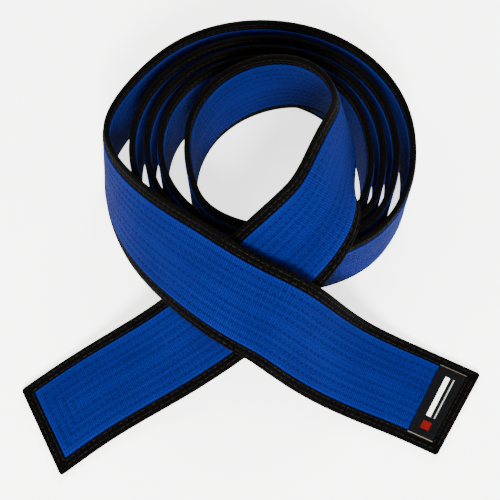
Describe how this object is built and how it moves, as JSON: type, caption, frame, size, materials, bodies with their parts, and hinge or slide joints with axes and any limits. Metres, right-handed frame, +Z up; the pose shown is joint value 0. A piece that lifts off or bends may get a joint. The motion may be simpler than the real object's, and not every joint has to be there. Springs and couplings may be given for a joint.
{
  "type": "martial arts belt",
  "caption": "Padded, stitched fabric strip with a coloured centre and black borders, coiled on its edge with both ends crossed in front; worn wrapped and tied round the waist",
  "frame": {"origin": "centre of the base of the bounding box, on the floor the belt lies on", "axes": "+Z up from the floor, -Y towards the two free ends, +X towards the labelled end"},
  "size_m": [0.2159, 0.218, 0.0879],
  "materials": {
    "cover": "black cotton twill, matte",
    "padding": "undyed brushed cotton",
    "panel": "royal blue ribbed cotton, matte",
    "border_thread": "black thread, slight sheen",
    "panel_thread": "blue thread, slight sheen",
    "label": "woven black satin",
    "label_thread": "black thread"
  },
  "bodies": {
    "root": {"cover": "cover", "core_ply_inner": "padding", "core_ply_middle": "padding", "core_ply_outer": "padding", "panel_outer": "panel", "panel_inner": "panel", "edge_stitch_1_needle": "border_thread", "edge_stitch_1_bobbin": "border_thread", "edge_stitch_2_needle": "border_thread", "edge_stitch_2_bobbin": "border_thread", "panel_stitch_1_needle": "panel_thread", "panel_stitch_1_bobbin": "panel_thread", "panel_stitch_2_needle": "panel_thread", "panel_stitch_2_bobbin": "panel_thread", "panel_stitch_3_needle": "panel_thread", "panel_stitch_3_bobbin": "panel_thread", "panel_stitch_4_needle": "panel_thread", "panel_stitch_4_bobbin": "panel_thread", "label": "label", "label_stitch": "label_thread"}
  },
  "joints": []
}
